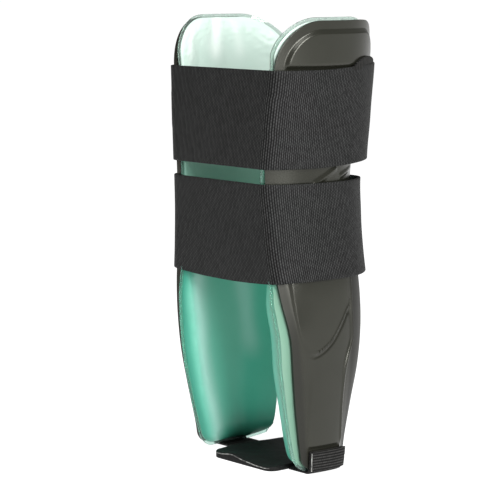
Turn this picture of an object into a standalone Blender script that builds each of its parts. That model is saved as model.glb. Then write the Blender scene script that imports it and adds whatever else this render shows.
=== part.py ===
"""Stirrup ankle brace, standing upright on the flat underside of its heel pad.

Two moulded shells stand left and right of the leg, each lined with an inflated air cell.
Two elastic straps loop round both shells, and a heel pad with wrapped tabs joins them underneath.
Metres, +Z up, front opening towards -Y, lateral shell at +X. The origin is on the floor.
"""

import math

import bmesh
import bpy
from mathutils import Vector

# Driving sizes
SHELL_HEIGHT = 0.236
SHELL_LIFT = 0.0021
SHELL_DEPTH = 0.074
HALF_SPREAD = 0.051
SHELL_WALL = 0.0022
TOP_CORNER = 0.025
BOTTOM_CORNER = 0.007
PANEL_RAISE = 0.0011
PANEL_MARGIN = 0.0065
PANEL_STEP = 0.0035
PANEL_TIP_HEIGHT = 0.072
PANEL_TIP_WIDTH = 0.024
PANEL_TIP_RISE = 0.027
RIDGE_RAISE = 0.0008
RIDGE_WIDTH = 0.0035
FIT_GAP = 0.0004

CELL_RIM = 0.0035
CELL_RIM_THICKNESS = 0.0008
CELL_TOP_MARGIN = 0.0022
CELL_BOTTOM_LIFT = 0.0024
CELL_TOP_CORNER = 0.026
CELL_BOTTOM_CORNER = 0.012
CELL_PUFF = 0.0065
CELL_ROUND = 0.010

STRAP_WIDTH = 0.0508
STRAP_THICKNESS = 0.0016
UPPER_STRAP_HEIGHT = 0.1623
LOWER_STRAP_HEIGHT = 0.1039
UPPER_STRAP_REAR_RISE = 0.0022
LOWER_STRAP_FRONT_DROOP = 0.0026

PATCH_HEIGHT = 0.0065
PATCH_THICKNESS = 0.0009
PATCH_START = 0.76

PAD_LENGTH = 0.049
PAD_DEPTH = 0.0565
PAD_OFFSET_X = 0.004
PAD_OFFSET_Y = 0.0028
PAD_THICKNESS = 0.0030
PAD_CORNER = 0.006
PAD_EDGE_ROUND = 0.0008
TAB_WIDTH = 0.024
TAB_OFFSET_Y = 0.004
TAB_THICKNESS = 0.0014
TAB_RISE = 0.0095

# Mesh density
SHELL_COLUMNS = 18
CELL_COLUMNS = 16
BODY_ROWS = 19
CORNER_ROWS = 5
STRAP_ROWS = 4
SIDE_STEPS = 14
SPAN_STEPS = 4

# Shell sections. height is a share of SHELL_HEIGHT, x columns are shares of HALF_SPREAD,
# y columns are shares of SHELL_DEPTH. crown_x is the furthest point of the section.
# Columns: height, front_x, front_y, rear_x, rear_y, crown_x
SHELL_SECTIONS = (
    (0.000, 0.855, -0.216, 0.657, 0.290, 0.888),
    (0.055, 0.855, -0.245, 0.663, 0.311, 0.908),
    (0.140, 0.882, -0.299, 0.686, 0.362, 0.953),
    (0.225, 0.914, -0.343, 0.706, 0.419, 0.992),
    (0.310, 0.920, -0.373, 0.706, 0.449, 1.000),
    (0.394, 0.847, -0.422, 0.671, 0.457, 0.986),
    (0.479, 0.773, -0.451, 0.620, 0.443, 0.953),
    (0.564, 0.733, -0.468, 0.592, 0.424, 0.927),
    (0.661, 0.710, -0.489, 0.584, 0.400, 0.918),
    (0.775, 0.757, -0.480, 0.608, 0.488, 0.933),
    (0.894, 0.806, -0.460, 0.645, 0.530, 0.965),
    (1.000, 0.843, -0.455, 0.676, 0.535, 0.990),
)
CROWN_PLACE = 0.47
FRONT_POWER = 2.0
REAR_POWER = 2.6

# Air cell sections. front_out and rear_out are how far the rim stands past the shell's edges,
# front_in and rear_in how deep it lies behind the shell's face there, all as shares of
# CELL_ROUND. puff is the swell towards the leg as a share of CELL_PUFF.
# Columns: height, front_out, rear_out, front_in, rear_in, puff
CELL_SECTIONS = (
    (0.000, 0.28, 0.40, 0.62, 0.42, 0.60),
    (0.055, 0.46, 0.55, 0.66, 0.44, 0.75),
    (0.140, 0.58, 0.60, 0.78, 0.46, 0.85),
    (0.225, 0.68, 0.50, 0.96, 0.46, 0.95),
    (0.310, 0.66, 0.35, 0.98, 0.44, 1.00),
    (0.366, 0.48, 0.20, 0.76, 0.42, 0.95),
    (0.405, 0.02, 0.05, 0.55, 0.42, 0.90),
    (0.480, 0.02, 0.05, 0.45, 0.42, 0.80),
    (0.661, 0.02, 0.05, 0.42, 0.42, 0.60),
    (0.900, 0.02, 0.05, 0.42, 0.42, 0.50),
    (0.933, 0.16, 0.15, 0.42, 0.42, 0.50),
    (1.000, 0.22, 0.20, 0.40, 0.40, 0.45),
)

# Relief of the outer face. height is a share of SHELL_HEIGHT. ridge_y is the ridge behind the
# panels and front_y the front edge of the lower panel, both as shares of SHELL_DEPTH.
# Columns: height, ridge_y, front_y
RIDGE_LINE = (
    (0.000, 0.075, -0.205),
    (0.080, 0.120, -0.195),
    (0.150, 0.150, -0.160),
    (0.240, 0.215, -0.115),
    (0.310, 0.240, -0.100),
    (0.440, 0.220, -0.100),
    (0.600, 0.235, -0.100),
)

# Strap clearances past the shell's face, as shares of STRAP_THICKNESS, from its lower edge up.
# Columns: share of the strap's width, at the front edge, at the crown, at the rear edge
UPPER_STRAP_STAND = (
    (0.00, 0.75, 0.30, 4.20),
    (0.50, 0.75, 0.30, 2.00),
    (1.00, 0.95, 0.30, 1.20),
)
LOWER_STRAP_STAND = (
    (0.00, 0.75, 0.30, 1.10),
    (0.50, 0.75, 0.30, 1.40),
    (1.00, 0.60, 0.30, 2.40),
)

MATERIALS = {
    "shell_plastic": ((0.070, 0.070, 0.055, 1.0), 0.33),
    "vinyl": ((0.13, 0.50, 0.36, 1.0), 0.22),
    "elastic": ((0.030, 0.030, 0.031, 1.0), 0.85),
    "hook_tape": ((0.014, 0.014, 0.014, 1.0), 0.90),
    "pad_fabric": ((0.018, 0.018, 0.017, 1.0), 0.90),
}


def clear_scene():
    for item in list(bpy.data.objects):
        bpy.data.objects.remove(item)


def make_material(name):
    colour, roughness = MATERIALS[name]
    material = bpy.data.materials.new(name)
    material.use_nodes = True
    shader = material.node_tree.nodes["Principled BSDF"]
    shader.inputs["Base Color"].default_value = colour
    shader.inputs["Roughness"].default_value = roughness
    shader.inputs["Metallic"].default_value = 0.0
    material.diffuse_color = colour
    return material


def smooth_step(low, high, value):
    share = min(1.0, max(0.0, (value - low) / (high - low)))
    return share * share * (3.0 - 2.0 * share)


def read_table(table, key):
    """One smooth row of a table whose first column is the key."""
    key = min(table[-1][0], max(table[0][0], key))
    index = 0
    while index < len(table) - 2 and key > table[index + 1][0]:
        index += 1
    low, high = table[index], table[index + 1]
    before = table[max(index - 1, 0)]
    after = table[min(index + 2, len(table) - 1)]
    step = high[0] - low[0]
    share = (key - low[0]) / step
    values = []
    for column in range(1, len(low)):
        start_slope = (high[column] - before[column]) / (high[0] - before[0]) * step
        end_slope = (after[column] - low[column]) / (after[0] - low[0]) * step
        square, cube = share ** 2, share ** 3
        values.append(
            (2 * cube - 3 * square + 1) * low[column]
            + (cube - 2 * square + share) * start_slope
            + (3 * square - 2 * cube) * high[column]
            + (cube - square) * end_slope
        )
    return values


def shell_section(z):
    """Front and rear edge and crown of the shell's outer face at height z."""
    row = read_table(SHELL_SECTIONS, (z - SHELL_LIFT) / SHELL_HEIGHT)
    front_x, front_y, rear_x, rear_y, crown_x = row
    return (
        front_x * HALF_SPREAD,
        front_y * SHELL_DEPTH,
        rear_x * HALF_SPREAD,
        rear_y * SHELL_DEPTH,
        crown_x * HALF_SPREAD,
    )


def plain_face_x(y, z):
    """The outer face without its relief. Past an edge it runs on with the edge's value."""
    front_x, front_y, rear_x, rear_y, crown_x = shell_section(z)
    crown_y = front_y + CROWN_PLACE * (rear_y - front_y)
    if y < crown_y:
        share = min(1.0, (crown_y - y) / (crown_y - front_y))
        return crown_x - (crown_x - front_x) * share ** FRONT_POWER
    share = min(1.0, (y - crown_y) / (rear_y - crown_y))
    return crown_x - (crown_x - rear_x) * share ** REAR_POWER


def corner_inset(z, bottom, top, bottom_corner, top_corner):
    """How far a side edge steps in where the outline turns round its corners."""
    if z > top - top_corner:
        rise = min(top_corner, z - (top - top_corner))
        return top_corner - math.sqrt(max(0.0, top_corner ** 2 - rise ** 2))
    if z < bottom + bottom_corner:
        fall = min(bottom_corner, bottom + bottom_corner - z)
        return bottom_corner - math.sqrt(max(0.0, bottom_corner ** 2 - fall ** 2))
    return 0.0


def shell_limits(z):
    """The shell's own front and rear edge, with its rounded corners."""
    front_y, rear_y = shell_section(z)[1], shell_section(z)[3]
    inset = corner_inset(z, SHELL_LIFT, SHELL_LIFT + SHELL_HEIGHT, BOTTOM_CORNER, TOP_CORNER)
    return front_y + inset, rear_y - inset


def relief(y, z):
    """Raised upper panel with its pointed lower end, the lower panel and the ridge behind them."""
    front_y, rear_y = shell_limits(z)
    ridge_share, front_share = read_table(RIDGE_LINE, (z - SHELL_LIFT) / SHELL_HEIGHT)
    ridge_y = ridge_share * SHELL_DEPTH
    tip_y = -0.12 * SHELL_DEPTH
    tip_z = PANEL_TIP_HEIGHT + PANEL_TIP_RISE * ((y - tip_y) / PANEL_TIP_WIDTH) ** 2
    top_z = SHELL_LIFT + SHELL_HEIGHT - PANEL_MARGIN
    edge = min(y - front_y, rear_y - y)
    upper = (
        smooth_step(PANEL_MARGIN - PANEL_STEP, PANEL_MARGIN, edge)
        * smooth_step(tip_z, tip_z + PANEL_STEP, z)
        * (1.0 - smooth_step(top_z, top_z + PANEL_STEP, z))
    )
    low_top = PANEL_TIP_HEIGHT - 2.0 * PANEL_STEP
    lower = (
        smooth_step(front_share * SHELL_DEPTH - PANEL_STEP, front_share * SHELL_DEPTH, y)
        * (1.0 - smooth_step(ridge_y, ridge_y + PANEL_STEP, y))
        * smooth_step(SHELL_LIFT + TAB_RISE, SHELL_LIFT + TAB_RISE + PANEL_STEP, z)
        * (1.0 - smooth_step(low_top - 4.0 * PANEL_STEP, low_top, z))
    )
    fade = smooth_step(TAB_RISE, TAB_RISE + 2.0 * PANEL_STEP, z)
    fade *= 1.0 - smooth_step(LOWER_STRAP_HEIGHT - PANEL_STEP, LOWER_STRAP_HEIGHT, z)
    ridge = math.exp(-((y - ridge_y) / RIDGE_WIDTH) ** 2) * fade
    strapped = smooth_step(LOWER_STRAP_HEIGHT - 2.0 * PANEL_STEP, LOWER_STRAP_HEIGHT, z)
    strapped *= 1.0 - smooth_step(
        UPPER_STRAP_HEIGHT + STRAP_WIDTH, UPPER_STRAP_HEIGHT + STRAP_WIDTH + PANEL_STEP, z
    )
    panels = PANEL_RAISE * max(upper, lower) * (1.0 - strapped)
    return panels + RIDGE_RAISE * ridge


def face_point(y, z, lift=0.0):
    """A point of the plain outer face, moved along the section's outward normal."""
    step = 0.0002
    slope = (plain_face_x(y + step, z) - plain_face_x(y - step, z)) / (2.0 * step)
    length = math.hypot(1.0, slope)
    return Vector((plain_face_x(y, z) + lift / length, y - slope * lift / length, z))


def row_heights(bottom, top, bottom_corner, top_corner):
    """Heights of the rows of a sheet, closer together round its corners."""
    heights = []
    for index in range(CORNER_ROWS):
        turn = math.pi / 2.0 * index / CORNER_ROWS
        heights.append(bottom + bottom_corner * (1.0 - math.cos(turn)))
    low, high = bottom + bottom_corner, top - top_corner
    for index in range(BODY_ROWS):
        heights.append(low + (high - low) * index / BODY_ROWS)
    for index in range(CORNER_ROWS + 1):
        turn = math.pi / 2.0 * index / CORNER_ROWS
        heights.append(high + top_corner * math.sin(turn))
    return heights


def add_object(name, bm, side, collection, material):
    """Mirrors the mesh for the medial side and puts it in the collection."""
    for vertex in bm.verts:
        vertex.co.x *= side
    bmesh.ops.recalc_face_normals(bm, faces=bm.faces)
    mesh = bpy.data.meshes.new(name)
    bm.to_mesh(mesh)
    bm.free()
    mesh.shade_smooth()
    mesh.set_sharp_from_angle(angle=math.radians(40.0))
    item = bpy.data.objects.new(name, mesh)
    collection.objects.link(item)
    mesh.materials.append(material)
    return item


def grid_faces(bm, rows, closed=False):
    """Quads between rows of vertices."""
    count = len(rows[0])
    last = count if closed else count - 1
    for low, high in zip(rows, rows[1:]):
        for index in range(last):
            after = (index + 1) % count
            bm.faces.new((low[index], low[after], high[after], high[index]))


def build_shell(name, side, collection, material):
    """The outer face as a curved grid, given its wall by Solidify."""
    bm = bmesh.new()
    rows = []
    for z in row_heights(SHELL_LIFT, SHELL_LIFT + SHELL_HEIGHT, BOTTOM_CORNER, TOP_CORNER):
        front_y, rear_y = shell_limits(z)
        row = []
        for column in range(SHELL_COLUMNS + 1):
            y = front_y + (rear_y - front_y) * column / SHELL_COLUMNS
            row.append(bm.verts.new(face_point(y, z, relief(y, z))))
        rows.append(row)
    grid_faces(bm, rows)
    for face in bm.faces:
        face.normal_update()
    middle = bm.faces[:][len(bm.faces) // 2]
    outward = middle.normal.x > 0.0
    if not outward:
        bmesh.ops.reverse_faces(bm, faces=bm.faces)
    for vertex in bm.verts:
        vertex.co.x *= side
    if side < 0:
        bmesh.ops.reverse_faces(bm, faces=bm.faces)
    mesh = bpy.data.meshes.new(name)
    bm.to_mesh(mesh)
    bm.free()
    mesh.materials.append(material)
    mesh.shade_smooth()
    item = bpy.data.objects.new(name, mesh)
    collection.objects.link(item)
    wall = item.modifiers.new("wall", "SOLIDIFY")
    wall.thickness = SHELL_WALL
    wall.offset = -1.0
    return item


def cell_limits(z):
    """Front and rear tips of the cell's rim, their depth behind the face and the swell."""
    row = read_table(CELL_SECTIONS, (z - SHELL_LIFT) / SHELL_HEIGHT)
    front_out, rear_out, front_in, rear_in, puff = row
    _, front_y, _, rear_y, _ = shell_section(z)
    top = SHELL_LIFT + SHELL_HEIGHT + CELL_TOP_MARGIN
    turn = corner_inset(z, CELL_BOTTOM_LIFT, top, CELL_BOTTOM_CORNER, CELL_TOP_CORNER)
    return (
        front_y - front_out * CELL_ROUND + turn,
        rear_y + rear_out * CELL_ROUND - turn,
        front_in * CELL_ROUND,
        rear_in * CELL_ROUND,
        puff * CELL_PUFF,
    )


def shell_inside_x(y, z):
    """The furthest out that the cell may reach behind the shell's wall."""
    _, front_y, _, rear_y, _ = shell_section(z)
    held = min(rear_y, max(front_y, y))
    step = 0.0002
    slope = (plain_face_x(held + step, z) - plain_face_x(held - step, z)) / (2.0 * step)
    return plain_face_x(held, z) - (SHELL_WALL + FIT_GAP) * math.hypot(1.0, slope)


def cell_swell(y, z, front_y, rear_y):
    """1 in the middle of the cell, 0 on its rim, rounded over towards the weld."""
    bottom = CELL_BOTTOM_LIFT + CELL_RIM
    top = SHELL_LIFT + SHELL_HEIGHT + CELL_TOP_MARGIN - CELL_RIM
    edge = min(y - front_y - CELL_RIM, rear_y - CELL_RIM - y, z - bottom, top - z)
    share = min(1.0, max(0.0, edge / CELL_ROUND))
    return math.sqrt(1.0 - (1.0 - share) ** 2)


def build_cell(name, side, collection, material):
    """A welded pillow: rings of outer and inner points, with a thin rim all round."""
    bm = bmesh.new()
    rings = []
    top = SHELL_LIFT + SHELL_HEIGHT + CELL_TOP_MARGIN
    half_rim = CELL_RIM_THICKNESS / 2.0
    for z in row_heights(CELL_BOTTOM_LIFT, top, CELL_BOTTOM_CORNER, CELL_TOP_CORNER):
        front_y, rear_y, front_in, rear_in, puff = cell_limits(z)
        outer, inner = [], []
        for column in range(CELL_COLUMNS + 1):
            share = 0.5 - 0.5 * math.cos(math.pi * column / CELL_COLUMNS)
            y = front_y + (rear_y - front_y) * share
            swell = cell_swell(y, z, front_y, rear_y)
            wall_x = shell_inside_x(y, z)
            rim_x = plain_face_x(y, z) - front_in - (rear_in - front_in) * share
            rim_x = min(rim_x, wall_x - 2.0 * half_rim)
            out_x = rim_x + half_rim + (wall_x - rim_x - half_rim) * swell
            outer.append(bm.verts.new((out_x, y, z)))
            inner.append(bm.verts.new((rim_x - half_rim - puff * swell, y, z)))
        rings.append(outer + inner[::-1])
    grid_faces(bm, rings, closed=True)
    for ring in (rings[0], rings[-1]):
        for column in range(CELL_COLUMNS):
            far = len(ring) - 1 - column
            bm.faces.new((ring[column], ring[column + 1], ring[far - 1], ring[far]))
    return add_object(name, bm, side, collection, material)


def strap_side(z, front_stand, crown_stand, rear_stand):
    """Plan points of a strap's inner face from the front turn round the shell to the rear turn."""
    _, front_y, _, rear_y, _ = shell_section(z)
    points = []
    for step in range(SIDE_STEPS + 1):
        share = step / SIDE_STEPS
        y = front_y + (rear_y - front_y) * share
        front_part = 1.0 - smooth_step(0.0, CROWN_PLACE, share)
        rear_part = smooth_step(CROWN_PLACE, 1.0, share)
        stand = crown_stand + (front_stand - crown_stand) * front_part
        stand += (rear_stand - crown_stand) * rear_part
        point = face_point(y, z, stand + FIT_GAP)
        points.append((point.x, point.y))
    return points


def strap_ring(z, stands):
    """One closed plan loop of a strap's inner face."""
    side = strap_side(z, *stands)
    front_x, front_y = side[0]
    rear_x, rear_y = side[-1]
    span_front = [(front_x * (2.0 * step / SPAN_STEPS - 1.0), front_y) for step in range(1, SPAN_STEPS)]
    span_rear = [(rear_x * (1.0 - 2.0 * step / SPAN_STEPS), rear_y) for step in range(1, SPAN_STEPS)]
    mirrored = [(-x, y) for x, y in side[::-1]]
    return span_front + side + span_rear + mirrored


def build_strap(name, height, stand_table, rear_rise, front_droop, collection, material):
    """A closed elastic loop round both shells."""
    bm = bmesh.new()
    rows = []
    for index in range(STRAP_ROWS + 1):
        share = index / STRAP_ROWS
        z = height + STRAP_WIDTH * share
        stands = [value * STRAP_THICKNESS for value in read_table(stand_table, share)]
        ring = strap_ring(z, stands)
        front_y = min(point[1] for point in ring)
        rear_y = max(point[1] for point in ring)
        row = []
        for x, y in ring:
            back = smooth_step(0.3, 1.0, (y - front_y) / (rear_y - front_y))
            middle = 1.0 - min(1.0, abs(x) / HALF_SPREAD) ** 2
            droop = front_droop * middle * (1.0 - back) * (1.0 - share) ** 2
            row.append(bm.verts.new((x, y, z + rear_rise * back - droop)))
        rows.append(row)
    grid_faces(bm, rows, closed=True)
    item = add_object(name, bm, 1.0, collection, material)
    wall = item.modifiers.new("wall", "SOLIDIFY")
    wall.thickness = STRAP_THICKNESS
    wall.offset = 1.0
    wall.use_even_offset = True
    return item


def build_patch(name, collection, material):
    """Hook patch on the lateral shell that shows above the rear of the upper strap."""
    bm = bmesh.new()
    rows = []
    low = UPPER_STRAP_HEIGHT + STRAP_WIDTH + UPPER_STRAP_REAR_RISE + FIT_GAP
    steps_up, steps_along = 2, 6
    for step_up in range(steps_up + 1):
        z = low + PATCH_HEIGHT * step_up / steps_up
        front_y, rear_y = shell_limits(z)
        start = front_y + PATCH_START * (rear_y - front_y)
        end = rear_y - SHELL_WALL
        row = []
        for step in range(steps_along + 1):
            y = start + (end - start) * step / steps_along
            row.append(bm.verts.new(face_point(y, z, relief(y, z) + 2.0 * FIT_GAP)))
        rows.append(row)
    grid_faces(bm, rows)
    for face in bm.faces:
        face.normal_update()
    if bm.faces[:][0].normal.x < 0.0:
        bmesh.ops.reverse_faces(bm, faces=bm.faces)
    mesh = bpy.data.meshes.new(name)
    bm.to_mesh(mesh)
    bm.free()
    mesh.materials.append(material)
    item = bpy.data.objects.new(name, mesh)
    collection.objects.link(item)
    wall = item.modifiers.new("wall", "SOLIDIFY")
    wall.thickness = PATCH_THICKNESS
    wall.offset = 1.0
    return item


def build_pad(name, collection, material):
    """The padded floor under the heel, with rounded corners and a flat underside."""
    bm = bmesh.new()
    bmesh.ops.create_cube(bm, size=1.0)
    bmesh.ops.scale(bm, vec=(PAD_LENGTH, PAD_DEPTH, PAD_THICKNESS), verts=bm.verts)
    bmesh.ops.translate(bm, vec=(PAD_OFFSET_X, PAD_OFFSET_Y, PAD_THICKNESS / 2.0), verts=bm.verts)
    uprights = [edge for edge in bm.edges if abs(edge.verts[0].co.z - edge.verts[1].co.z) > 0.001]
    bmesh.ops.bevel(bm, geom=uprights, offset=PAD_CORNER, segments=5, profile=0.5, affect="EDGES")
    top_edges = [edge for edge in bm.edges if all(v.co.z > PAD_THICKNESS - 0.0001 for v in edge.verts)]
    bmesh.ops.bevel(bm, geom=top_edges, offset=PAD_EDGE_ROUND, segments=2, profile=0.5, affect="EDGES")
    return add_object(name, bm, 1.0, collection, material)


def build_tab(name, side, pad_end, collection, material):
    """Webbing from the pad's end under the shell and up its outer face, in two layers thick."""
    bm = bmesh.new()
    low, high = TAB_OFFSET_Y - TAB_WIDTH / 2.0, TAB_OFFSET_Y + TAB_WIDTH / 2.0
    steps_along, turn_steps, rise_steps = 6, 4, 3
    columns = []
    for step in range(steps_along + 1):
        y = low + (high - low) * step / steps_along
        foot = face_point(y, SHELL_LIFT, FIT_GAP).x
        profile = [(pad_end, TAB_THICKNESS), (foot - TAB_THICKNESS, TAB_THICKNESS)]
        for turn_step in range(1, turn_steps):
            turn = math.pi / 2.0 * turn_step / turn_steps
            reach = foot - profile[1][0]
            profile.append((
                profile[1][0] + reach * math.sin(turn),
                TAB_THICKNESS + reach * (1.0 - math.cos(turn)),
            ))
        for rise_step in range(rise_steps + 1):
            z = 2.0 * TAB_THICKNESS + (TAB_RISE - 2.0 * TAB_THICKNESS) * rise_step / rise_steps
            held_z = max(z, SHELL_LIFT)
            profile.append((face_point(y, held_z, FIT_GAP).x, z))
        columns.append([bm.verts.new((x, y, z)) for x, z in profile])
    grid_faces(bm, columns)
    for face in bm.faces:
        face.normal_update()
    if bm.faces[:][0].normal.z > 0.0:
        bmesh.ops.reverse_faces(bm, faces=bm.faces)
    for vertex in bm.verts:
        vertex.co.x *= side
    if side < 0:
        bmesh.ops.reverse_faces(bm, faces=bm.faces)
    mesh = bpy.data.meshes.new(name)
    bm.to_mesh(mesh)
    bm.free()
    mesh.materials.append(material)
    item = bpy.data.objects.new(name, mesh)
    collection.objects.link(item)
    wall = item.modifiers.new("wall", "SOLIDIFY")
    wall.thickness = TAB_THICKNESS
    wall.offset = 1.0
    wall.use_even_offset = True
    return item


def main():
    clear_scene()
    collection = bpy.data.collections.new("stirrup_ankle_brace")
    bpy.context.scene.collection.children.link(collection)
    plastic = make_material("shell_plastic")
    vinyl = make_material("vinyl")
    elastic = make_material("elastic")
    hook_tape = make_material("hook_tape")
    pad_fabric = make_material("pad_fabric")
    for word, side in (("medial", -1.0), ("lateral", 1.0)):
        build_shell(word + "_shell", side, collection, plastic)
        build_cell(word + "_air_cell", side, collection, vinyl)
        pad_end = side * PAD_OFFSET_X + PAD_LENGTH / 2.0 + FIT_GAP
        build_tab(word + "_heel_tab", side, pad_end, collection, elastic)
    build_strap(
        "upper_strap", UPPER_STRAP_HEIGHT, UPPER_STRAP_STAND, UPPER_STRAP_REAR_RISE, 0.0,
        collection, elastic,
    )
    build_strap(
        "lower_strap", LOWER_STRAP_HEIGHT, LOWER_STRAP_STAND, 0.0, LOWER_STRAP_FRONT_DROOP,
        collection, elastic,
    )
    build_patch("upper_hook_patch", collection, hook_tape)
    build_pad("heel_pad", collection, pad_fabric)


main()
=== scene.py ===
import math

import bpy
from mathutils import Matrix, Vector, noise


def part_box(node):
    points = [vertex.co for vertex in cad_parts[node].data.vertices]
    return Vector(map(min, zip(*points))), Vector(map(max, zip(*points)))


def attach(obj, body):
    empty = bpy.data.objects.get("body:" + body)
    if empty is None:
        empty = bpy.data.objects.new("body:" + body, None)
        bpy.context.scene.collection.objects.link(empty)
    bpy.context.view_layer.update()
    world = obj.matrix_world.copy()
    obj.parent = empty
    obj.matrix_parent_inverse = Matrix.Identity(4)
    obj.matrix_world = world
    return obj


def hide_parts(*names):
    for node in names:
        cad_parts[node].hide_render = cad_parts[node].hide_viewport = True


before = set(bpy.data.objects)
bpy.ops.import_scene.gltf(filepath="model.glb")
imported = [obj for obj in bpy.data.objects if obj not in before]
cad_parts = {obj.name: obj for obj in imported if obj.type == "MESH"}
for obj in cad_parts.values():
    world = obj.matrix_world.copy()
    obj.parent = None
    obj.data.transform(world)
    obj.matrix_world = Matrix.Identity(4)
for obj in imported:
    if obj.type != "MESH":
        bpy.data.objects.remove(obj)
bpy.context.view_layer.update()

# Metres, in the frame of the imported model. Lateral is +X, the open front is -Y.

studio = {
    "azimuth": 49.47, "elevation": 7.80, "distance": 1.1188,  # degrees and metres
    "aimRight": -0.01162, "aimHeight": 0.11383, "focalPixels": 2070.8, "imageSize": 500.0,
    "sensorWidth": 36.0, "lightCentre": 0.12,
    "floorSize": 40.0, "floorColour": (0.30, 0.30, 0.30), "floorGlow": 0.95,
    "worldColour": (1.0, 1.0, 1.0), "worldStrength": 0.28,
    "lights": [
        # name, azimuth, elevation, distance, width, height, watts
        ("keySoftbox", 76.0, 24.0, 1.25, 0.42, 1.0, 21.0),
        ("frontSoftbox", 36.0, 48.0, 1.5, 0.7, 0.5, 5.5),
        ("topSoftbox", 30.0, 78.0, 1.3, 0.8, 0.8, 8.0),
    ],
}

shell = {
    "height": 0.236, "lift": 0.0021, "depth": 0.074, "halfSpread": 0.051, "wall": 0.0022,
    "topCorner": 0.025, "rearCorners": {"lateral": 0.017, "medial": 0.025}, "bottomCorner": 0.007,
    "crownPlace": 0.47, "frontPower": 2.0, "rearPower": 2.6,
    "columns": 130, "rows": 330, "edgeRound": 0.0007,
    "lowRaise": 0.0008, "topRaise": 0.0014, "panelMargin": 0.0053, "panelStep": 0.0009,
    "lip": 0.0004, "slantRaise": 0.0006, "slantWidth": 0.0011,
    # heights between which the relief fades out under the lower strap, and in above the upper one
    "lowerFade": (0.106, 0.112), "upperFade": (0.2132, 0.2160),
    "ridgeRaise": 0.0011, "ridgeWidth": 0.0012, "flangeDrop": 0.0007, "lowBottom": 0.0148, "lowTop": 0.054,
    # y and height of the pointed lower end of the upper panel
    "tipLine": [
        (-0.0290, 0.1090), (-0.0276, 0.1028), (-0.0264, 0.0924), (-0.0251, 0.0820), (-0.0232, 0.0735),
        (-0.0203, 0.0685), (-0.0143, 0.0649), (-0.0082, 0.0667), (-0.0016, 0.0718), (0.0040, 0.0791),
        (0.0079, 0.0850), (0.0109, 0.0899), (0.0132, 0.1040), (0.0150, 0.1120),
    ],
    # slanting ridges that show between the straps: y and height of both ends
    "slants": [(-0.0109, 0.1541, 0.0035, 0.1611), (0.0085, 0.1573, 0.0197, 0.1605)],
    # share of the height, front x, front y, rear x, rear y, crown x: shares of halfSpread and depth
    "sections": [
        (0.000, 0.855, -0.216, 0.657, 0.290, 0.888),
        (0.055, 0.855, -0.245, 0.663, 0.311, 0.908),
        (0.140, 0.882, -0.299, 0.686, 0.362, 0.953),
        (0.225, 0.914, -0.343, 0.706, 0.419, 0.992),
        (0.310, 0.920, -0.373, 0.706, 0.449, 1.000),
        (0.394, 0.847, -0.422, 0.671, 0.457, 0.986),
        (0.479, 0.773, -0.451, 0.620, 0.443, 0.953),
        (0.564, 0.733, -0.468, 0.592, 0.424, 0.927),
        (0.661, 0.710, -0.489, 0.584, 0.400, 0.918),
        (0.775, 0.757, -0.480, 0.608, 0.488, 0.933),
        (0.894, 0.806, -0.460, 0.645, 0.530, 0.965),
        (1.000, 0.843, -0.455, 0.676, 0.535, 0.990),
    ],
    # share of the height, ridge y, front y of the lower panel: shares of depth
    "ridgeLine": [
        (0.000, 0.110, -0.185), (0.051, 0.111, -0.190), (0.137, 0.092, -0.200), (0.193, 0.091, -0.204),
        (0.229, 0.105, -0.203), (0.264, 0.139, -0.203), (0.295, 0.176, -0.203), (0.367, 0.168, -0.200),
        (0.600, 0.178, -0.200),
    ],
}

airCell = {
    "round": 0.010, "rim": 0.0023, "rimThickness": 0.0007, "topMargin": 0.0022, "bottomLift": 0.0006,
    "topCorner": 0.026, "frontCorner": 0.009, "rearCorner": 0.015, "puff": 0.0065, "gap": 0.0005,
    "columns": 96, "rows": 210, "rimColumns": 720, "rimRows": 8, "beadRadius": 0.00045,
    # share of the height, rim past the front edge, past the rear edge, depth in front, behind, swell
    "sections": [
        (0.000, 0.32, 0.40, 0.66, 0.42, 1.10),
        (0.055, 0.48, 0.55, 0.70, 0.44, 1.10),
        (0.140, 0.58, 0.60, 0.80, 0.46, 1.00),
        (0.225, 0.68, 0.50, 0.96, 0.46, 1.00),
        (0.310, 0.66, 0.35, 0.98, 0.44, 1.00),
        (0.366, 0.58, 0.20, 0.90, 0.42, 0.95),
        (0.412, 0.36, 0.05, 0.74, 0.42, 0.90),
        (0.480, 0.10, 0.05, 0.55, 0.42, 0.80),
        (0.661, 0.02, 0.05, 0.42, 0.42, 0.60),
        (0.900, 0.02, 0.05, 0.42, 0.42, 0.50),
        (0.933, 0.16, 0.15, 0.42, 0.42, 0.50),
        (1.000, 0.22, 0.20, 0.40, 0.40, 0.45),
    ],
    # soft dents of the face towards the leg: y, z, half width in y and z, depth
    "dents": [
        (-0.004, 0.236, 0.004, 0.012, 0.0010),
        (0.010, 0.085, 0.006, 0.030, 0.0010),
        (-0.012, 0.050, 0.008, 0.018, 0.0006),
        (0.004, 0.225, 0.005, 0.030, 0.0007),
        (-0.018, 0.222, 0.004, 0.026, 0.0006),
    ],
    "wrinkleHeight": 0.00030, "wrinkleReach": 0.0045,
    "lateralRimShift": 0.0058, "shoulder": 0.0062,
}

straps = {
    "width": 0.0508, "thickness": 0.0016, "upperHeight": 0.1623, "lowerHeight": 0.1039,
    "upperRearRise": 0.0022, "lowerFrontDroop": 0.0026, "cornerRound": 0.0040,
    "ribPitch": 0.00112, "pickPitch": 0.0017,
    "columns": 420, "rows": 24, "edgeRound": 0.0005,
    "darkYarnGrooveShade": (0.0009, 0.0009, 0.0009), "lightYarnCrestLight": (0.056, 0.057, 0.056),
    # share of the width, stand at the front edge, crown and rear edge in strap thicknesses
    "upperStand": [(0.00, 0.75, 0.30, 4.20), (0.50, 0.75, 0.30, 2.00), (1.00, 0.95, 0.30, 1.20)],
    "lowerStand": [(0.00, 0.75, 0.30, 1.10), (0.50, 0.75, 0.30, 1.40), (1.00, 0.60, 0.30, 2.40)],
}

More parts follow.
